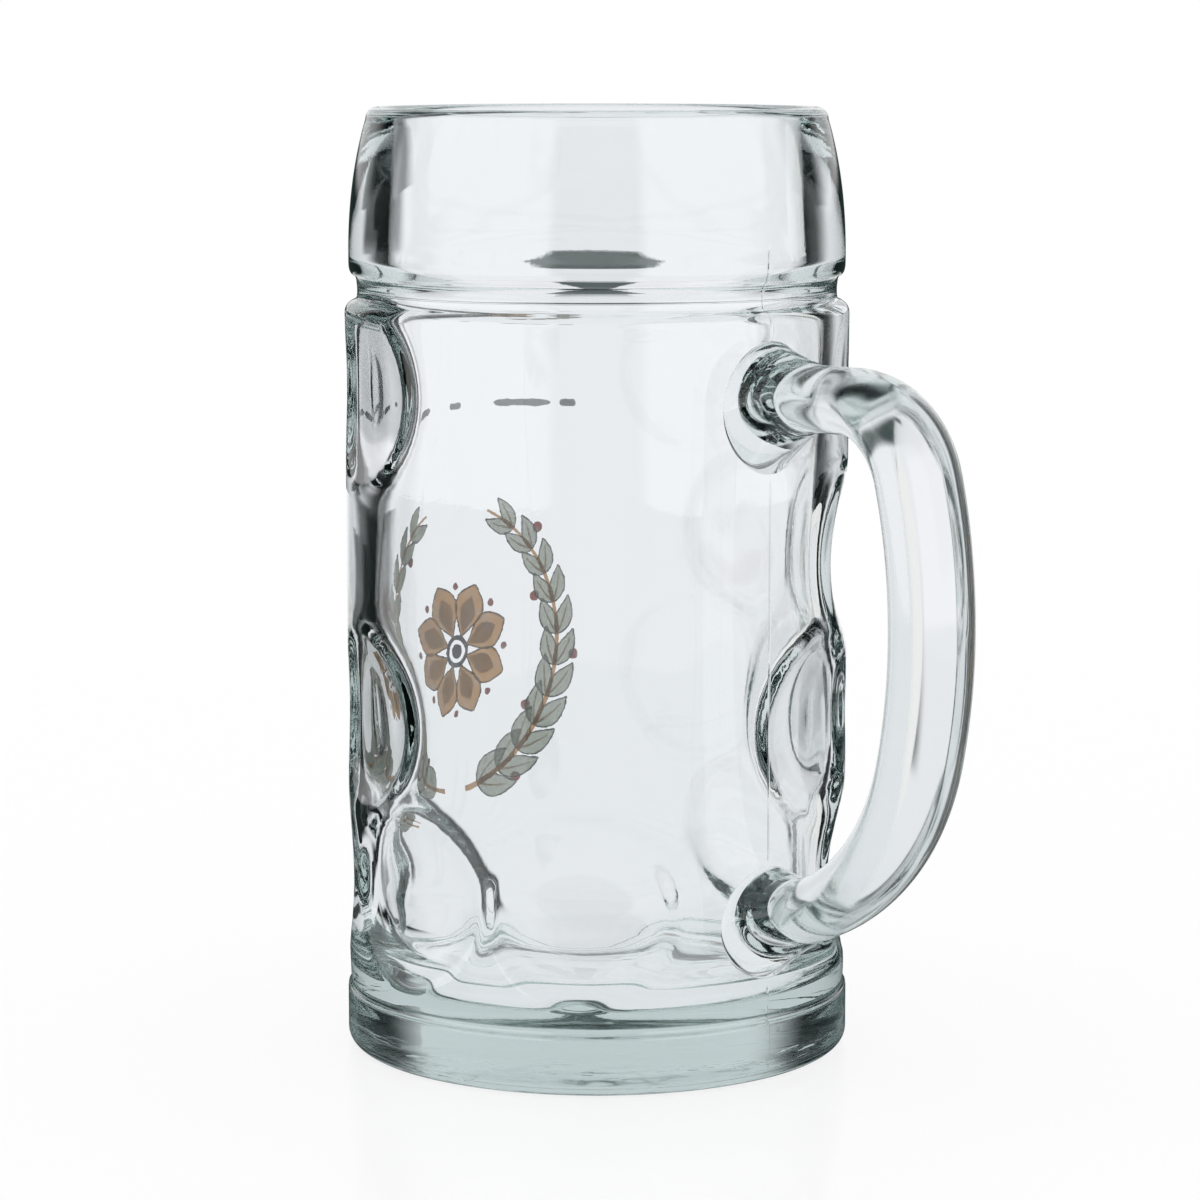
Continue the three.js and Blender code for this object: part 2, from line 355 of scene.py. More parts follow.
def wall_profile(body):
    """Profile (radius, height) from the underside, up the outside, over the lip and down the inside.

    Also gives the share of the dimples' depth that each point follows, 1 outside and less inside, and whether
    the point is on the inside.
    """
    foot, step = 2.5 * MM, 0.7 * MM
    recess_radius, recess = 31 * MM, 0.9 * MM
    wall_start, shoulder = 16 * MM, 123.2 * MM
    collar_bottom, lean_start = 130 * MM, 135 * MM
    ledge_top, ledge_bottom, ledge_steps = 132.5 * MM, 126.5 * MM, 16
    fillet = 9 * MM
    band, wall, neck, collar = body.band_height, body.body_radius, body.neck_radius, body.collar_radius
    lip_height = MUG_HEIGHT - body.lip_rounding
    lean_middle = (lean_start + lip_height) / 2
    inside = wall - body.wall
    floor, fillet_top = body.floor_height, body.floor_height + fillet
    under_lip = (body.lip_radius - body.lip_rounding, lip_height)
    ledge_share = eased(np.linspace(0, 1, ledge_steps), 0, 1)
    ledge = np.stack([
        body.collar_inside + (inside - body.collar_inside) * ledge_share,
        np.linspace(ledge_top, ledge_bottom, ledge_steps),
    ], -1)
    parts = [
        # Underside with its shallow hollow, and the rounding of the foot
        (bend((0.4 * MM, recess), (recess_radius * 0.8, recess), (recess_radius, 0), 14), 0),
        (straight((recess_radius + MM, 0), (BASE_RADIUS - foot, 0), 4), 0),
        (arc((BASE_RADIUS - foot, foot), foot, -78, 0, 8), 0),
        # Base band and its upper edge
        (straight((BASE_RADIUS, foot * 1.4), (BASE_RADIUS, band - step), 6), 0),
        (bend((BASE_RADIUS - 0.06 * MM, band - 0.3 * step), (BASE_RADIUS - 0.35 * MM, band),
              (BASE_RADIUS - 0.55 * MM, band + step), 5), 0),
        # Wall with the dimples
        (straight((wall - 0.2 * MM, band + 2 * step), (wall, wall_start), 5), 1),
        (straight((wall, wall_start + 1.2 * MM), (wall, shoulder - MM), 68), 1),
        # Shoulder, neck groove and collar
        (bend((wall, shoulder), (wall, shoulder + 1.6 * MM), (neck + 0.5 * MM, shoulder + 2.2 * MM), 8), 0),
        (bend((neck + 0.2 * MM, shoulder + 2.5 * MM), (neck - 0.1 * MM, body.neck_height),
              (neck + 0.3 * MM, collar_bottom - 0.9 * MM), 8), 0),
        (bend((neck + 0.6 * MM, collar_bottom - 0.5 * MM), (collar, collar_bottom - 0.3 * MM),
              (collar, collar_bottom + 1.6 * MM), 7), 0),
        (bend((collar, lean_start - 2 * MM), (collar, lean_middle),
              (body.lip_radius + body.lip_rounding, lip_height), 20), 0),
        # Lip, and the inside with its ledge, wall, rounded corner and floor
        (arc((body.lip_radius, lip_height), body.lip_rounding, 12, 168, 14), 0),
        (straight(under_lip, (body.collar_inside, ledge_top + MM), 14), 0),
        (ledge, ledge_share),
        (straight((inside, ledge_bottom - MM), (inside, fillet_top + MM), 60), 1),
        (arc((inside - fillet, fillet_top), fillet, 0, -88, 14), 0),
        (straight((inside - fillet - MM, floor), (0.6 * MM, floor + 0.4 * MM), 10), 0),
    ]
    profile = np.concatenate([points for points, _ in parts])
    shares = [np.broadcast_to(np.asarray(share, float), len(points)) for points, share in parts]
    follows = np.concatenate(shares)
    return profile, follows, np.arange(len(profile)) > np.argmax(profile[:, 1])


def seam_angles(count, fine, reach):
    """Angles round the mug, with a few more close to the mould seam at 0."""
    even = np.linspace(0, math.tau, count, endpoint=False)
    close = np.linspace(-reach, reach, fine)
    return np.unique(np.concatenate([even, close % math.tau]))


def near_joint(y, z):
    """1 inside the handle's oval joints on the wall, fading to 0 just outside them."""
    ovals = [np.hypot(y / wide, (z - height) / high) for height, wide, high in (UPPER_JOINT, LOWER_JOINT)]
    return 1 - eased(np.minimum(*ovals), 1, 1 + JOINT_FADE)


def body_surface(body):
    """Lathe of the wall profile, r(a, s) = R(s) - share(s) sink(a, z), with a seam outside, a ripple inside.

    The seam is h exp(-d^2) of the distance d from it, left out at the handle's joints. The ripple is the sum
    of two sines of the angle and the height.
    """
    profile, follows, inner = wall_profile(body)
    angle = seam_angles(count=320, fine=13, reach=0.010)[None, :]
    radius, height, follows = profile[:, :1], profile[:, 1:], follows[:, None]
    outside = ~inner[:, None]
    low_share, more_above = 0.4, 0.5
    rise = eased(height, 24 * MM, 44 * MM)
    off_floor = eased(height, body.floor_height + 9 * MM, body.floor_height + 15 * MM)
    share = follows * np.where(outside, 1.0, off_floor * (low_share + more_above * rise))
    sharp_sink, soft_sink = (dimple_sink(body, angle, height, softness) for softness in (0.4 * MM, 1.0 * MM))
    moved = radius - share * np.where(outside, sharp_sink, soft_sink)
    ripple = 0.05 * MM * (np.sin(3 * angle + height * 70) + np.sin(7 * angle - height * 110 + 1.3))
    moved = moved - np.where(outside, 0, follows) * ripple
    seam_half_width = 0.16 * MM
    seam_distance = abs(turn_between(angle, 0)) * body.body_radius
    seam = body.seam_height * np.exp(-((seam_distance / seam_half_width) ** 2))
    joint = np.where(np.cos(angle) > 0, near_joint(moved * np.sin(angle), height), 0)
    has_seam = outside & (height > body.band_height * 0.3) & (height < body.neck_height + 8 * MM)
    moved = moved + np.where(has_seam, seam * (1 - joint), 0)
    rings = np.stack([moved * np.cos(angle), moved * np.sin(angle), np.broadcast_to(height, moved.shape)], -1)
    poles = [(0, 0, profile[0, 1]), (0, 0, profile[-1, 1])]
    return skin(rings, poles)


def handle_spine(handle, wall_radius):
    """Spine of the handle: a straight arm, three arcs and a straight run back to the wall.

    Its heading, from outward towards down, is linear in the arc length on each stretch, and its place is the
    integral of (cos, -sin) of the heading.
    """
    radii, turns = (14.9 * MM, 90 * MM, 37.1 * MM), (74.5, 28.7, 56.7)
    longest_run = 20 * MM
    arcs = [radius * math.radians(turn) for radius, turn in zip(radii, turns)]
    breaks = np.concatenate([[0], np.cumsum([handle.arm_end - wall_radius, *arcs, longest_run])])
    headings = np.radians(np.concatenate([[0, 0], np.cumsum(turns), [sum(turns)]]))
    along = np.linspace(0, breaks[-1], 4000)
    heading = np.interp(along, breaks, headings)
    step = along[1] - along[0]
    midway = heading[:-1] + np.diff(heading) / 2
    out = wall_radius + np.concatenate([[0], np.cumsum(np.cos(midway) * step)])
    up = handle.arm_height - np.concatenate([[0], np.cumsum(np.sin(midway) * step)])
    reaches_wall = np.argmax((along > breaks[-2]) & (out < wall_radius))
    if reaches_wall == 0:
        raise RuntimeError("the handle's spine doesn't come back to the wall")
    keep = slice(0, reaches_wall + 1)
    return along[keep], out[keep], up[keep], heading[keep]


def bar_rings(handle, spine, places, turn):
    """Oval rings of the bar at places along its spine: centre + normal a cos(t) + sideways b sin(t).

    A mould seam, exp(-d^2) of the distance d from it, runs along the back.
    """
    along, out, up, heading = spine
    centre_out, centre_up, angle = (np.interp(places, along, part)[:, None] for part in (out, up, heading))
    seam, seam_half_width = 0.06 * MM, 0.5 * MM
    depth = (handle.thickness / 2 - seam) * np.cos(turn)
    depth = depth + seam * np.exp(-((np.sin(turn / 2) * handle.width / seam_half_width) ** 2))
    side = np.broadcast_to(handle.width / 2 * np.sin(turn), (len(places), turn.shape[1]))
    return np.stack([centre_out + np.sin(angle) * depth, side, centre_up + np.cos(angle) * depth], -1)


def joint_outline(joint, turn, upward, radius):
    """Oval outline of a joint: w sin(t) sideways and h cos(t) up or down, on the wall's radius."""
    height, wide, high = joint
    side = wide * np.sin(turn[0])
    up = height + upward * high * np.cos(turn[0])
    return np.stack([np.sqrt(radius**2 - side**2), side, up], -1)


def root_rings(outline, ring, direction, reach, steps):
    """Fillet from the outline on the wall to a ring of the bar.

    A cubic between the two, which leaves the outline along the wall towards its middle and reaches the ring
    along the bar.
    """
    t = np.linspace(0, 1, steps)[:, None, None]
    inward = ring - outline
    inward[:, 0] = -inward[:, 1] * outline[:, 1] / outline[:, 0]
    leave = 0.25 * inward
    arrive = 0.9 * reach * np.asarray(direction)
    return (
        (2 * t**3 - 3 * t**2 + 1) * outline
        + (t**3 - 2 * t**2 + t) * leave
        + (-2 * t**3 + 3 * t**2) * ring
        + (t**3 - t**2) * arrive
    )


def cap_rings(outline, radius, steps):
    """Rings on the wall from the middle of an outline out to it, without the outline itself."""
    innermost = 0.12
    share = np.linspace(innermost, 1, steps)[:-1, None, None]
    middle = outline.mean(0)
    rings = middle + share * (outline - middle)
    rings[..., 0] = np.sqrt(radius**2 - rings[..., 1] ** 2)
    return rings


def handle_surface(body, handle):
    """The bar with its two fillets and the caps that lie on the wall."""
    radius = body.body_radius + JOINT_GAP
    turn = -seam_angles(count=72, fine=9, reach=0.06)[None, :]
    spine = handle_spine(handle, radius)
    end, heading = spine[0][-1], spine[3][-1]
    upper_reach, lower_reach = 10 * MM, 10.5 * MM
    bar = bar_rings(handle, spine, np.linspace(upper_reach, end - lower_reach, BAR_RINGS), turn)
    upper_outline = joint_outline(UPPER_JOINT, turn, 1, radius)
    lower_outline = joint_outline(LOWER_JOINT, turn, -1, radius)
    backward = (-math.cos(heading), 0, math.sin(heading))
    upper_root = root_rings(upper_outline, bar[0], (1, 0, 0), upper_reach, ROOT_RINGS)
    lower_root = root_rings(lower_outline, bar[-1], backward, lower_reach, ROOT_RINGS)
    upper_cap = cap_rings(upper_outline, radius, CAP_RINGS)
    lower_cap = cap_rings(lower_outline, radius, CAP_RINGS)
    rings = np.concatenate([upper_cap, upper_root[:-1], bar, lower_root[-2::-1], lower_cap[::-1]])
    return skin(rings, [(radius, 0, UPPER_JOINT[0]), (radius, 0, LOWER_JOINT[0])])


def mark_joint(piece, where):
    """Stores on each face whether it lies in the joint between the handle and the wall."""
    mesh = piece.data
    attribute = mesh.attributes.new("joint_zone", "FLOAT", "FACE")
    attribute.data.foreach_set("value", where.astype(np.float32))


def face_vectors(mesh, kind):
    """The centre or the normal of every face."""
    vectors = np.zeros(len(mesh.polygons) * 3)
    mesh.polygons.foreach_get(kind, vectors)
    return vectors.reshape(-1, 3)


def off_wall(body, centres):
    """How far each place is from the wall's radius, in or out."""
    return abs(np.hypot(centres[:, 0], centres[:, 1]) - body.body_radius)


def in_oval(y, z, joint):
    """1 inside the oval of a joint, 0 outside."""
    height, wide, high = joint
    across, up = y / wide, (z - height) / high
    return (across * across + up * up) < 1.0


def moulded_glass(body):
    """Clear soda-lime glass with a tint in thick parts, and no skin inside the handle's joints.

    Its normal has faint waves, a fine peel and chill wrinkles low on the base. Its polish is duller in
    smears, on the foot and along the handle.
    """
    material, tree = new_tree("moulded_glass")
    place = tree.node("ShaderNodeTexCoord", output="Object")
    x, y, z = place.xyz()
    flow = tree.node("ShaderNodeMapping", None, {"Vector": place, "Scale": (70.0, 70.0, 800.0)})
    wrinkle = noise(flow, 1.0, 2.0).smoothstep(0.52, 0.72) * (1 - z.smoothstep(4 * MM, 6.5 * MM))
    normal = bumped(noise(place, 55.0, 2.0, Roughness=0.4), 0.035, 2 * MM)
    normal = bumped(noise(place, 1500.0, 1.0), 0.04, 0.03 * MM, Normal=normal)
    normal = bumped(wrinkle, 0.4, 0.3 * MM, Normal=normal)
    smeared = noise(place, 24.0, 3.0).smoothstep(0.55, 0.8)
    on_foot = z < 1.3 * MM
    on_handle = x.smoothstep(44 * MM, 52 * MM)
    in_joint = in_oval(y, z, UPPER_JOINT) + in_oval(y, z, LOWER_JOINT)
    zone = tree.node("ShaderNodeAttribute", {"attribute_name": "joint_zone"}, output="Fac")
    shader = tree.node(
        "ShaderNodeBsdfPrincipled",
        None,
        {
            "Base Color": (0.985, 0.995, 0.992, 1),
            "Roughness": smeared * 0.012 + on_foot * 0.1 + on_handle * 0.09,
            "IOR": 1.52,
            "Transmission Weight": 1.0,
            "Alpha": 1 - in_joint * zone,
            "Normal": normal,
        },
    )
    absorption = {"Color": (*body.tint, 1), "Density": body.tint_density}
    tint = tree.node("ShaderNodeVolumeAbsorption", None, absorption)
    tree.node("ShaderNodeOutputMaterial", None, {"Surface": shader, "Volume": tint})
    return material


def fired_enamel(name, colour_value):
    """Screen-printed enamel: mottled where the coat is thin, satin, with a fine grain."""
    material, tree = new_tree(name)
    place = tree.node("ShaderNodeTexCoord", output="Object")
    mottle = noise(place, 420.0, 4.0)
    cover, bare_glass = 0.55, 0.62
    thin = tuple(cover * part + (1 - cover) * bare_glass for part in colour_value)
    shader = tree.node(
        "ShaderNodeBsdfPrincipled",
        None,
        {
            "Base Color": mixed(tree, mottle.smoothstep(0.48, 0.75), colour_value, thin),
            "Roughness": 0.34 + mottle * 0.2,
            "Transmission Weight": 0.6,
            "Alpha": 0.95 - mottle * 0.2,
            "Normal": bumped(noise(place, 5200.0, 2.0), 0.25, 0.04 * MM),
        },
    )
    tree.node("ShaderNodeOutputMaterial", None, {"Surface": shader})
    return material


# Enamel lies this much of a coat above what is under it
CLEARANCE = 0.2

# Leaves of the wreath: pairs on a branch, the branch's point at the first and the points from pair to pair
LEAF_PAIRS, FIRST_LEAF, LEAF_SPACING = 11, 3, 5
LEAF_LENGTH, LEAF_HALF_WIDTH, LEAF_POINTS = 8.6 * MM, 1.95 * MM, 15
LEAF_ROOM = (5 * MM, 4.5 * MM)
VEIN_SPAN = slice(1, 12)
LEAF_LEAN, LEAF_CURL, LEAF_SHRINK = 0.62, 0.5, 0.03
BERRY_RADIUS, BERRY_OFFSET = 0.95 * MM, 3.4 * MM

# Half widths of the lines, from one end of a line to the other
STEM_LINE, VEIN_LINE, OUTLINE = (0.55 * MM, 0.25 * MM), (0.22 * MM, 0.08 * MM), 0.13 * MM

# The flower, in parts of its radius: where a petal starts, its length and its half width
PETALS, PETAL_POINTS, PETAL_FULLNESS = 8, 17, 1.25
PETAL, INNER_PETAL = (0.22, 0.78, 0.27), (0.27, 0.55, 0.15)
PETAL_OUTLINE, EYE_RING, EYE_LINE, EYE = 0.013, 0.2, 0.035, 0.11
SPOT_PLACE, SPOT = 0.93, 0.055


def on_print_panel(along, up, lift, radius):
    """Places on the wall opposite the handle: along it, to the right seen from outside, up, and off it."""
    turn = along / radius
    reach = radius + lift
    return np.stack([-reach * np.cos(turn), -reach * np.sin(turn), np.broadcast_to(up, reach.shape)], -1)


def enamel_stroke(line, half_width, coat, layer, radius, closed=False, around=12):
    """A stroke of enamel along a line on the wall, given as (along, up) points.

    Its section is a flat oval: half_width cos(t) across the line, and coat (1 + sin(t)) / 2 above the layer
    under it. An open stroke closes in a point at each end.
    """
    line = np.asarray(line, float)
    half_width = np.broadcast_to(half_width, len(line))[:, None]
    if closed:
        run = np.roll(line, -1, 0) - np.roll(line, 1, 0)
    else:
        run = np.gradient(line, axis=0)
    run = run / np.linalg.norm(run, axis=1)[:, None]
    turn = np.linspace(math.tau, 0, around, endpoint=False)[None, :]
    across = half_width * np.cos(turn)
    lift = (layer + CLEARANCE) * coat + coat * (1 + np.sin(turn)) / 2 + 0 * across
    along = line[:, :1] + run[:, 1:] * across
    up = line[:, 1:] - run[:, :1] * across
    rings = on_print_panel(along, up, lift, radius)
    if closed:
        return skin(rings)
    middle_lift = np.full((2, 1), (layer + CLEARANCE + 0.5) * coat)
    poles = on_print_panel(line[[0, -1], :1], line[[0, -1], 1:], middle_lift, radius)[:, 0]
    return skin(rings, poles)


def pointing(angle):
    """Unit vectors (along, up) at angles."""
    return np.stack([np.cos(angle), np.sin(angle)], -1)


def leaf_line(base, angle, size, curl, steps):
    """Points (along, up) from the base of a leaf to its tip, in equal steps whose heading turns by curl."""
    t = np.linspace(0, 1, steps)
    heading = angle + curl * t
    step = size / (steps - 1)
    along = np.concatenate([[0], np.cumsum(np.cos(heading[:-1]))]) * step
    up = np.concatenate([[0], np.cumsum(np.sin(heading[:-1]))]) * step
    return np.stack([base[0] + along, base[1] + up], -1)


def leaf_width(steps, widest, fullness=0.8):
    """Half width along a leaf, sin(pi t^fullness), which stays just off nothing at its ends."""
    t = np.linspace(0.015, 0.985, steps)
    return widest * np.sin(math.pi * t**fullness)


def leaf_outline(line, half_width):
    """Closed line round a leaf: its points moved by its half width, to one side and back on the other."""
    way = np.gradient(line, axis=0)
    across = np.stack([-way[:, 1], way[:, 0]], -1) / np.linalg.norm(way, axis=1, keepdims=True)
    offset = across * half_width[:, None]
    return np.concatenate([line + offset, (line - offset)[::-1]])


def dot(place, size, coat, layer, radius, steps=13):
    """A round spot of enamel: a short stroke with the half width sqrt(1 - t^2) of a circle."""
    t = np.cos(np.linspace(math.pi, 0, steps + 2)[1:-1])
    line = np.stack([place[0] + size * t, np.full(steps, place[1])], -1)
    return enamel_stroke(line, size * np.sqrt(1 - t * t), coat, layer, radius)


def wreath_branch(side, wreath_size, middle):
    """Points (along, up) of one branch of the wreath, an arc of an oval from its foot up one side."""
    foot, tip, points = -82, 70, 60
    turn = np.radians(np.linspace(foot, tip, points))
    along = side * wreath_size[0] * np.cos(turn)
    up = middle + wreath_size[1] * np.sin(turn)
    return np.stack([along, up], -1)


def flower_petal(centre, reach, angle, sizes):
    """Line and half width of a straight petal, whose sizes are parts of the flower's radius."""
    start, size, half_width = (part * reach for part in sizes)
    line = leaf_line(centre + start * pointing(angle), angle, size, 0, PETAL_POINTS)
    return line, leaf_width(PETAL_POINTS, half_width, PETAL_FULLNESS)


class MUG_OT_body(bpy.types.Operator):
    """Moulded glass body with its dimples, base band, neck groove, collar and lip"""

    bl_idname = "mug.body"
    bl_label = "Glass Body"

    def execute(self, context):
        body = context.scene.mug_body
        piece = add_piece("glass_body", body_surface(body), glass_material(context), ["mug_body"])
        centres = face_vectors(piece.data, "center")
        in_joint = (centres[:, 0] > 0) & (near_joint(centres[:, 1], centres[:, 2]) > 0)
        mark_joint(piece, in_joint & (off_wall(body, centres) < 0.3 * MM))
        return {"FINISHED"}


class MUG_OT_handle(bpy.types.Operator):
    """Oval glass bar handle with a fillet at each end"""

    bl_idname = "mug.handle"
    bl_label = "Handle"

    def execute(self, context):
        body, handle = context.scene.mug_body, context.scene.mug_handle
        surface = handle_surface(body, handle)
        piece = add_piece("glass_handle", surface, glass_material(context), ["handle"])
        on_wall = off_wall(body, face_vectors(piece.data, "center")) < 0.05 * MM
        mark_joint(piece, on_wall & (face_vectors(piece.data, "normal")[:, 0] < 0))
        return {"FINISHED"}


class MUG_OT_fill_mark(bpy.types.Operator):
    """Five enamel dashes that mark the fill line"""

    bl_idname = "mug.fill_mark"
    bl_label = "Fill Mark"

    def execute(self, context):
        body, enamel = context.scene.mug_body, context.scene.mug_enamel
        material = fired_enamel("grey_enamel", enamel.grey)
        for node in FILL_DASHES:
            low, high = (np.array(corner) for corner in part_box(node))
            ends = [-math.asin(side / body.body_radius) * body.body_radius for side in (high[1], low[1])]
            t = np.linspace(0, 1, 25)
            line = np.stack([ends[0] + (ends[1] - ends[0]) * t, np.full(len(t), (low[2] + high[2]) / 2)], -1)
            # The edges wander by up to 12 percent, and the ends are rounded
            ragged = 1 - 0.12 * np.sin(19 * t + line[0, 0] * 900) * np.sin(7 * t)
            width = (high[2] - low[2]) / 2 * ragged * (1 - (2 * t - 1) ** 10 * 0.85)
            stroke = enamel_stroke(line, width, enamel.coat, 0, body.body_radius)
            add_piece(node.replace("fill_dash", "fill_line"), stroke, material, [node])
        return {"FINISHED"}


class MUG_OT_wreath(bpy.types.Operator):
    """Enamel wreath of leaves with their outlines, stems and berries"""

    bl_idname = "mug.wreath"
    bl_label = "Wreath"

    def execute(self, context):
        body, enamel = context.scene.mug_body, context.scene.mug_enamel
        radius, coat = body.body_radius, enamel.coat
        middle = (WREATH_LOW.z + WREATH_HIGH.z) / 2
        half_width = math.asin(WREATH_HIGH.y / radius) * radius
        half_height = (WREATH_HIGH.z - WREATH_LOW.z) / 2
        size = (half_width - LEAF_ROOM[0], half_height - LEAF_ROOM[1])
        leaves, veins, berries, outlines = [], [], [], []
        for side in (1, -1):
            branch = wreath_branch(side, size, middle)
            veins.append(enamel_stroke(branch, np.linspace(*STEM_LINE, len(branch)), coat, 0, radius))
            for index in range(LEAF_PAIRS):
                at = FIRST_LEAF + index * LEAF_SPACING
                heading = math.atan2(*(branch[at + 1] - branch[at])[::-1])
                grow = 1 - LEAF_SHRINK * index
                width = leaf_width(LEAF_POINTS, LEAF_HALF_WIDTH * grow)
                for lean in (-1, 1):
                    way, curl = heading + lean * LEAF_LEAN, -lean * LEAF_CURL
                    leaf = leaf_line(branch[at], way, LEAF_LENGTH * grow, curl, LEAF_POINTS)
                    edge = leaf_outline(leaf, width)
                    vein = leaf[VEIN_SPAN]
                    leaves.append(enamel_stroke(leaf, width, coat, 1, radius))
                    outlines.append(enamel_stroke(edge, OUTLINE, coat, 2, radius, closed=True, around=6))
                    veins.append(enamel_stroke(vein, np.linspace(*VEIN_LINE, len(vein)), coat, 2, radius))
                if index % 2:
                    offset = BERRY_OFFSET * (1 if index % 4 == 1 else -1)
                    normal = np.array([-math.sin(heading), math.cos(heading)])
                    berries.append(dot(branch[at + 2] + offset * normal, BERRY_RADIUS, coat, 3, radius))
        green, stem = fired_enamel("green_enamel", enamel.green), fired_enamel("stem_enamel", enamel.ochre)
        red, ink = fired_enamel("red_enamel", enamel.red), fired_enamel("ink_enamel", enamel.ink)
        add_piece("wreath_leaves", joined(leaves), green, ["emblem_wreath"])
        add_piece("wreath_stems", joined(veins), stem)
        add_piece("wreath_berries", joined(berries), red)
        add_piece("wreath_outline", joined(outlines), ink)
        return {"FINISHED"}


class MUG_OT_rosette(bpy.types.Operator):
    """Enamel flower in the middle of the wreath"""

    bl_idname = "mug.rosette"
    bl_label = "Rosette"

    def execute(self, context):
        body, enamel = context.scene.mug_body, context.scene.mug_enamel
        radius, coat = body.body_radius, enamel.coat
        centre = np.array([0, (ROSETTE_LOW.z + ROSETTE_HIGH.z) / 2])
        reach = (ROSETTE_HIGH.z - ROSETTE_LOW.z) / 2
        petals, inner_petals, outlines, spots = [], [], [], []
        half_pitch = math.tau / PETALS / 2
        for index in range(PETALS):
            angle = (2 * index + 1) * half_pitch
            petal, width = flower_petal(centre, reach, angle, PETAL)
            inner, inner_width = flower_petal(centre, reach, angle, INNER_PETAL)
            edge = leaf_outline(petal, width)
            petals.append(enamel_stroke(petal, width, coat, 0, radius))
            line = PETAL_OUTLINE * reach
            outlines.append(enamel_stroke(edge, line, coat, 1, radius, closed=True, around=6))
            inner_petals.append(enamel_stroke(inner, inner_width, coat, 1, radius))
            spot = centre + SPOT_PLACE * reach * pointing(angle + half_pitch)
            spots.append(dot(spot, SPOT * reach, coat, 0, radius))
        ring = centre + EYE_RING * reach * pointing(np.linspace(0, math.tau, 72, endpoint=False))
        outlines.append(enamel_stroke(ring, EYE_LINE * reach, coat, 2, radius, closed=True))
        outlines.append(dot(centre, EYE * reach, coat, 2, radius))
        ochre, white = fired_enamel("petal_enamel", enamel.ochre), fired_enamel("white_enamel", enamel.white)
        ink, red = fired_enamel("outline_enamel", enamel.ink), fired_enamel("spot_enamel", enamel.red)
        add_piece("rosette_petals", joined(petals), ochre, ["emblem_rosette"])
        add_piece("rosette_inner_petals", joined(inner_petals), white)
        add_piece("rosette_outline", joined(outlines), ink)
        add_piece("rosette_spots", joined(spots), red)
        return {"FINISHED"}


def glass_material(context):
    """The one glass that the body and the handle share."""
    return bpy.data.materials.get("moulded_glass") or moulded_glass(context.scene.mug_body)


# The studio in degrees off the backdrop: where the dark gap beside it fades in, and where the side panel that
# ends the gap begins below and above the level
GAP_START, LOW_PANEL, HIGH_PANEL = (26, 44), (55, 62), (64, 88)
# The low dark patch at the left and its foot on the table, the gap round the camera, and the soft boxes
LOW_LEFT, TABLE_LEFT, CAMERA_GAP, SOFT_BOX = (25, 54), (22, 54), (150, 158), (78, 159)

# The table, and the upright screens: two ends, each right of the mug and behind it, and the height
TABLE_RADIUS, TABLE_SINK, TABLE_CORNERS = 0.85, 0.05 * MM, 96
BACKDROP = ((-0.155, 0.4), (0.22, 0.4), 0.2)
SIDE_CARD = ((0.08, 0.018), (0.22, 0.09), 0.13)

WHITE = (1, 1, 1)
CARD_WHITE = (0.96, 0.955, 0.94)
TABLE_IN_GLASS = (0.9, 0.905, 0.94)
LAMP_WHITE = (1.5, 1.5, 1.5)


def off_backdrop(tree, x, y, stage):
    """How far ahead and to the left a direction lies, seen from the camera, and its turn off the backdrop."""
    facing = math.pi / 2 + stage.camera_azimuth
    ahead = x * math.cos(facing) + y * math.sin(facing)
    aside = y * math.cos(facing) - x * math.sin(facing)
    return ahead, aside, tree.math("ABSOLUTE", tree.math("ARCTAN2", aside, ahead))


def turned(turn, ends):
    """0 up to the first of two turns in degrees, 1 from the second on."""
    return turn.smoothstep(*map(math.radians, ends))


def between(turn, ends, soft):
    """1 between two turns in degrees, with soft edges."""
    low, high = ends
    return turned(turn, (low - soft, low + soft)) * (1 - turned(turn, (high - soft, high + soft)))


def beside_backdrop(turn, z):
    """1 in the dark gap on each side of the backdrop, which fades out towards it and ends at a side panel."""
    low, high = turned(turn, LOW_PANEL), turned(turn, HIGH_PANEL)
    panel = low + z.smoothstep(-0.02, 0.08) * (high - low)
    return turned(turn, GAP_START) * (1 - panel)


def ray_kinds(tree):
    """Whether a ray comes from the camera, from gloss or through glass."""
    names = ("Is Camera Ray", "Is Glossy Ray", "Is Transmission Ray")
    return [tree.node("ShaderNodeLightPath", output=name) for name in names]


def shining(tree, shade):
    """A surface that shows one colour, lit or not."""
    colour_value = shade if isinstance(shade, Wire) else (*shade, 1)
    return tree.node("ShaderNodeEmission", None, {"Color": colour_value, "Strength": 1.0})


def floor_material(stage):
    """White table: white to the camera, with the mug's faint shadow and mirror image.

    Glass sees dark patches on it where it meets the gaps beside the backdrop, and gloss sees it dark at the
    sides.
    """
    material, tree = new_tree("white_table")
    camera, glossy, through = ray_kinds(tree)
    x, y, z = tree.node("ShaderNodeTexCoord", output="Object").xyz()
    aside, turn = off_backdrop(tree, x, y, stage)[1:]
    away = tree.math("SQRT", x * x + y * y)
    left = between(turn, TABLE_LEFT, 3) * aside.smoothstep(0.0, 0.05) * away.smoothstep(0.06, 0.1)
    below_level = z - 1
    far = beside_backdrop(turn, below_level) * away.smoothstep(0.16, 0.24)
    in_glass = mixed(tree, tree.math("MAXIMUM", left, far), TABLE_IN_GLASS, stage.drape)
    in_gloss = mixed(tree, glossy * turn.smoothstep(0.25, 0.6), WHITE, stage.ceiling)
    paint = {"Base Color": (0.98, 0.98, 0.98, 1), "Roughness": 0.12}
    plain = tree.node("ShaderNodeBsdfPrincipled", None, paint)
    lit = tree.math("MINIMUM", camera * 0.8 + glossy + through, 1.0)
    white = shining(tree, mixed(tree, through, in_gloss, in_glass))
    surface = tree.node("ShaderNodeMixShader", None, {0: lit, 1: plain, 2: white})
    tree.node("ShaderNodeOutputMaterial", None, {"Surface": surface})
    return material


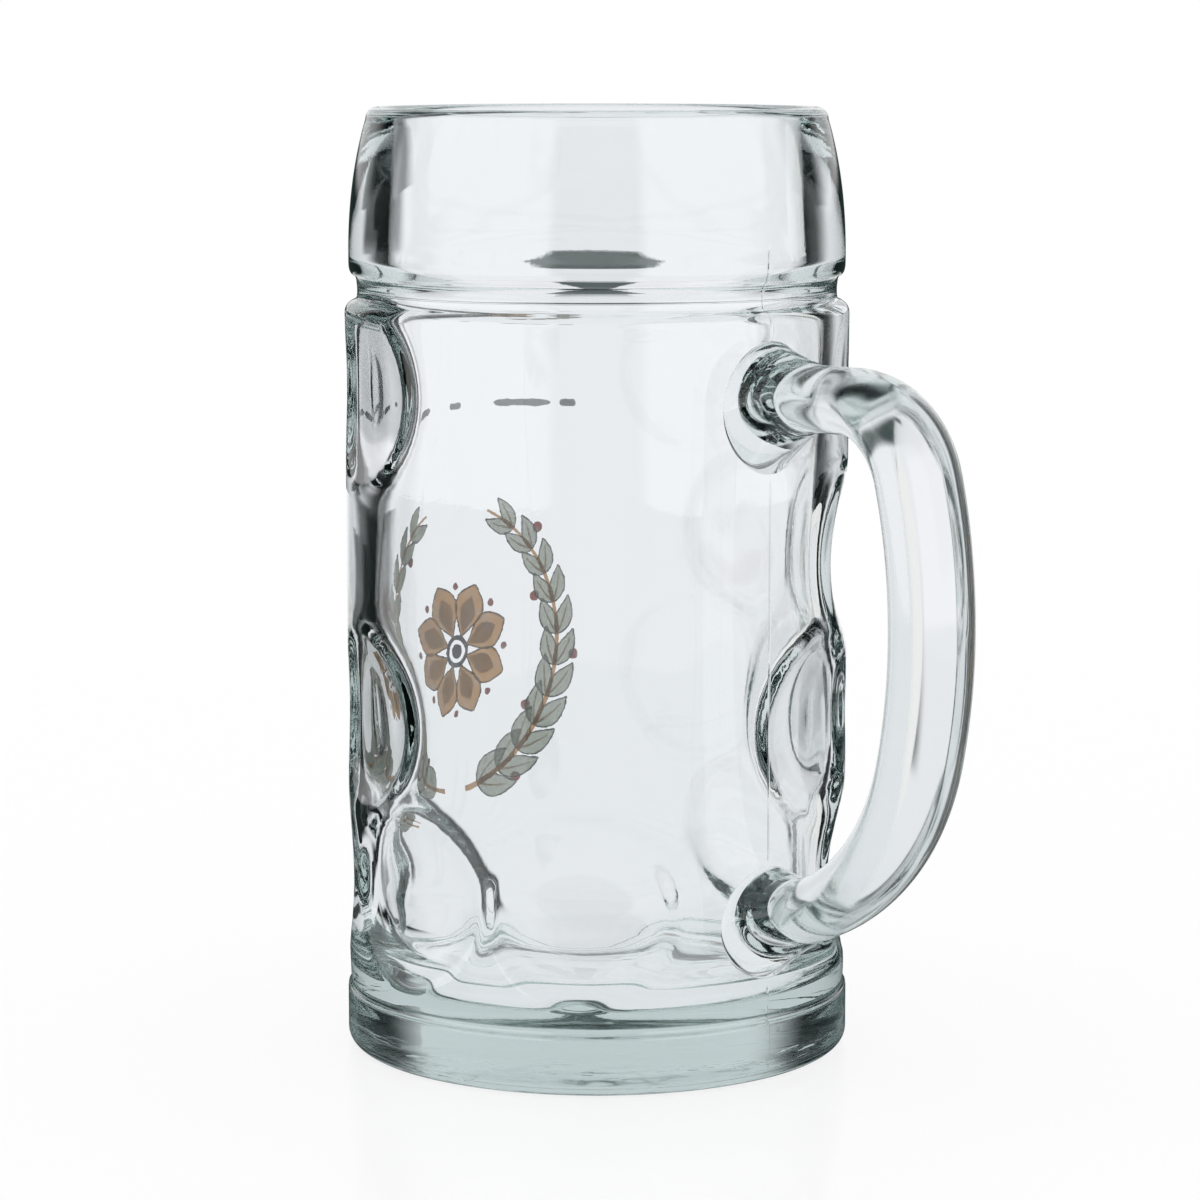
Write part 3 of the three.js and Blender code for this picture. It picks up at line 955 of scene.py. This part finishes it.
def screen_material(name, shade):
    """White screen that only rays through glass see."""
    material, tree = new_tree(name)
    through = ray_kinds(tree)[2]
    clear = tree.node("ShaderNodeBsdfTransparent", None, {"Color": (*WHITE, 1)})
    surface = tree.node("ShaderNodeMixShader", None, {0: through, 1: clear, 2: shining(tree, shade)})
    tree.node("ShaderNodeOutputMaterial", None, {"Surface": surface})
    return material


def add_stage_piece(name, points, material):
    """One flat face of the stage. It belongs to no body."""
    mesh = bpy.data.meshes.new(name)
    mesh.from_pydata(points, [], [list(range(len(points)))])
    mesh.materials.append(material)
    piece = bpy.data.objects.new(name, mesh)
    bpy.context.scene.collection.objects.link(piece)


def add_screen(name, stage, place, shade):
    """An upright screen between two places, each given as how far right of the mug and how far behind it."""
    start, end, height = place
    across = np.array([start, end])
    right = stage.camera_azimuth
    foot = np.stack([
        across[:, 0] * math.cos(right) - across[:, 1] * math.sin(right),
        across[:, 0] * math.sin(right) + across[:, 1] * math.cos(right),
        np.zeros(2),
    ], -1)
    add_stage_piece(name, [*foot, *(foot[::-1] + (0, 0, height))], screen_material(name, shade))


def studio_world(stage):
    """White all round to the camera and to plain surfaces.

    Glass sees a dark gap on each side of the backdrop, a thin dark strip above it, a dark ceiling and the
    dark gap where the camera stands. Gloss sees a dark room with a soft box on each side of the camera and
    white behind the mug.
    """
    world = bpy.data.worlds.new("studio")
    world.use_nodes = True
    world.node_tree.nodes.clear()
    tree = Wire(world.node_tree)
    x, y, z = tree.node("ShaderNodeTexCoord", output="Generated").xyz()
    ahead, aside, turn = off_backdrop(tree, x, y, stage)
    drape = beside_backdrop(turn, z) * z.smoothstep(-0.5, -0.28) * (1 - z.smoothstep(0.5, 0.65))
    low_left = between(turn, LOW_LEFT, 4) * aside.smoothstep(0.0, 0.1) * (1 - z.smoothstep(-0.08, 0.0))
    gap = turned(turn, CAMERA_GAP) * z.smoothstep(0.0, 0.03)
    dark = tree.math("MAXIMUM", tree.math("MAXIMUM", drape, low_left), gap)
    middle = aside.smoothstep(-0.036, -0.028) * (1 - aside.smoothstep(0.028, 0.036))
    strip = middle * ahead.smoothstep(0.0, 0.1) * z.smoothstep(0.16, 0.22) * 0.9
    ceiling = tree.math("MAXIMUM", strip, z.smoothstep(0.9, 0.97))
    box = between(turn, SOFT_BOX, 4) * z.smoothstep(-0.3, -0.1) * (1 - z.smoothstep(0.5, 0.7))
    window = ahead.smoothstep(0.6, 0.8) * z.smoothstep(0.0, 0.04)
    in_glass = mixed(tree, ceiling, mixed(tree, dark, stage.panel, stage.drape), stage.ceiling)
    in_gloss = mixed(tree, window, mixed(tree, box, stage.ceiling, LAMP_WHITE), WHITE)
    camera, glossy, through = ray_kinds(tree)
    shade = mixed(tree, glossy * (1 - camera), WHITE, in_gloss)
    shade = mixed(tree, through * (1 - camera), shade, in_glass)
    light = tree.node("ShaderNodeBackground", None, {"Color": shade, "Strength": 1.0})
    tree.node("ShaderNodeOutputWorld", None, {"Surface": light})
    return world


class MUG_OT_stage(bpy.types.Operator):
    """Camera, white table, screens, studio light and view settings"""

    bl_idname = "mug.stage"
    bl_label = "Stage"

    def execute(self, context):
        scene, stage = context.scene, context.scene.mug_stage
        lens = bpy.data.cameras.new("camera")
        lens.lens = stage.lens
        lens.sensor_width = SENSOR_WIDTH
        camera = bpy.data.objects.new("camera", lens)
        turn = stage.camera_azimuth
        reach = stage.camera_distance
        camera.location = (reach * math.sin(turn), -reach * math.cos(turn), stage.camera_height)
        camera.rotation_euler = (math.pi / 2 - stage.camera_tilt, 0, turn - stage.camera_yaw)
        scene.collection.objects.link(camera)
        scene.camera = camera
        edge = np.linspace(0, math.tau, TABLE_CORNERS, endpoint=False)
        rim = np.stack([np.cos(edge), np.sin(edge), np.zeros(TABLE_CORNERS)], -1) * TABLE_RADIUS
        add_stage_piece("table", rim - (0, 0, TABLE_SINK), floor_material(stage))
        add_screen("backdrop", stage, BACKDROP, stage.panel)
        add_screen("side_card", stage, SIDE_CARD, CARD_WHITE)
        scene.world = studio_world(stage)
        scene.view_settings.view_transform = "Standard"
        scene.cycles.max_bounces = 32
        scene.cycles.transmission_bounces = 32
        scene.cycles.glossy_bounces = 16
        scene.cycles.transparent_max_bounces = 24
        return {"FINISHED"}


class MUG_PT_panel(bpy.types.Panel):
    """Lists the mug's pieces"""

    bl_idname = "MUG_PT_panel"
    bl_label = "Beer Mug"
    bl_space_type = "VIEW_3D"
    bl_region_type = "UI"
    bl_category = "Mug"

    def draw(self, context):
        for operator in OPERATORS:
            self.layout.operator(operator.bl_idname)


SETTINGS = {
    "mug_body": MugBodySettings,
    "mug_handle": MugHandleSettings,
    "mug_enamel": MugEnamelSettings,
    "mug_stage": MugStageSettings,
}
OPERATORS = (MUG_OT_body, MUG_OT_handle, MUG_OT_fill_mark, MUG_OT_wreath, MUG_OT_rosette, MUG_OT_stage)


def register():
    for name, group in SETTINGS.items():
        bpy.utils.register_class(group)
        setattr(bpy.types.Scene, name, bpy.props.PointerProperty(type=group))
    for part in (*OPERATORS, MUG_PT_panel):
        bpy.utils.register_class(part)


def unregister():
    for part in reversed((*OPERATORS, MUG_PT_panel)):
        bpy.utils.unregister_class(part)
    for name, group in reversed(SETTINGS.items()):
        delattr(bpy.types.Scene, name)
        bpy.utils.unregister_class(group)


def main():
    register()
    bpy.ops.mug.stage()
    bpy.ops.mug.body()
    bpy.ops.mug.handle()
    bpy.ops.mug.fill_mark()
    bpy.ops.mug.wreath()
    bpy.ops.mug.rosette()


if __name__ == "__main__":
    main()
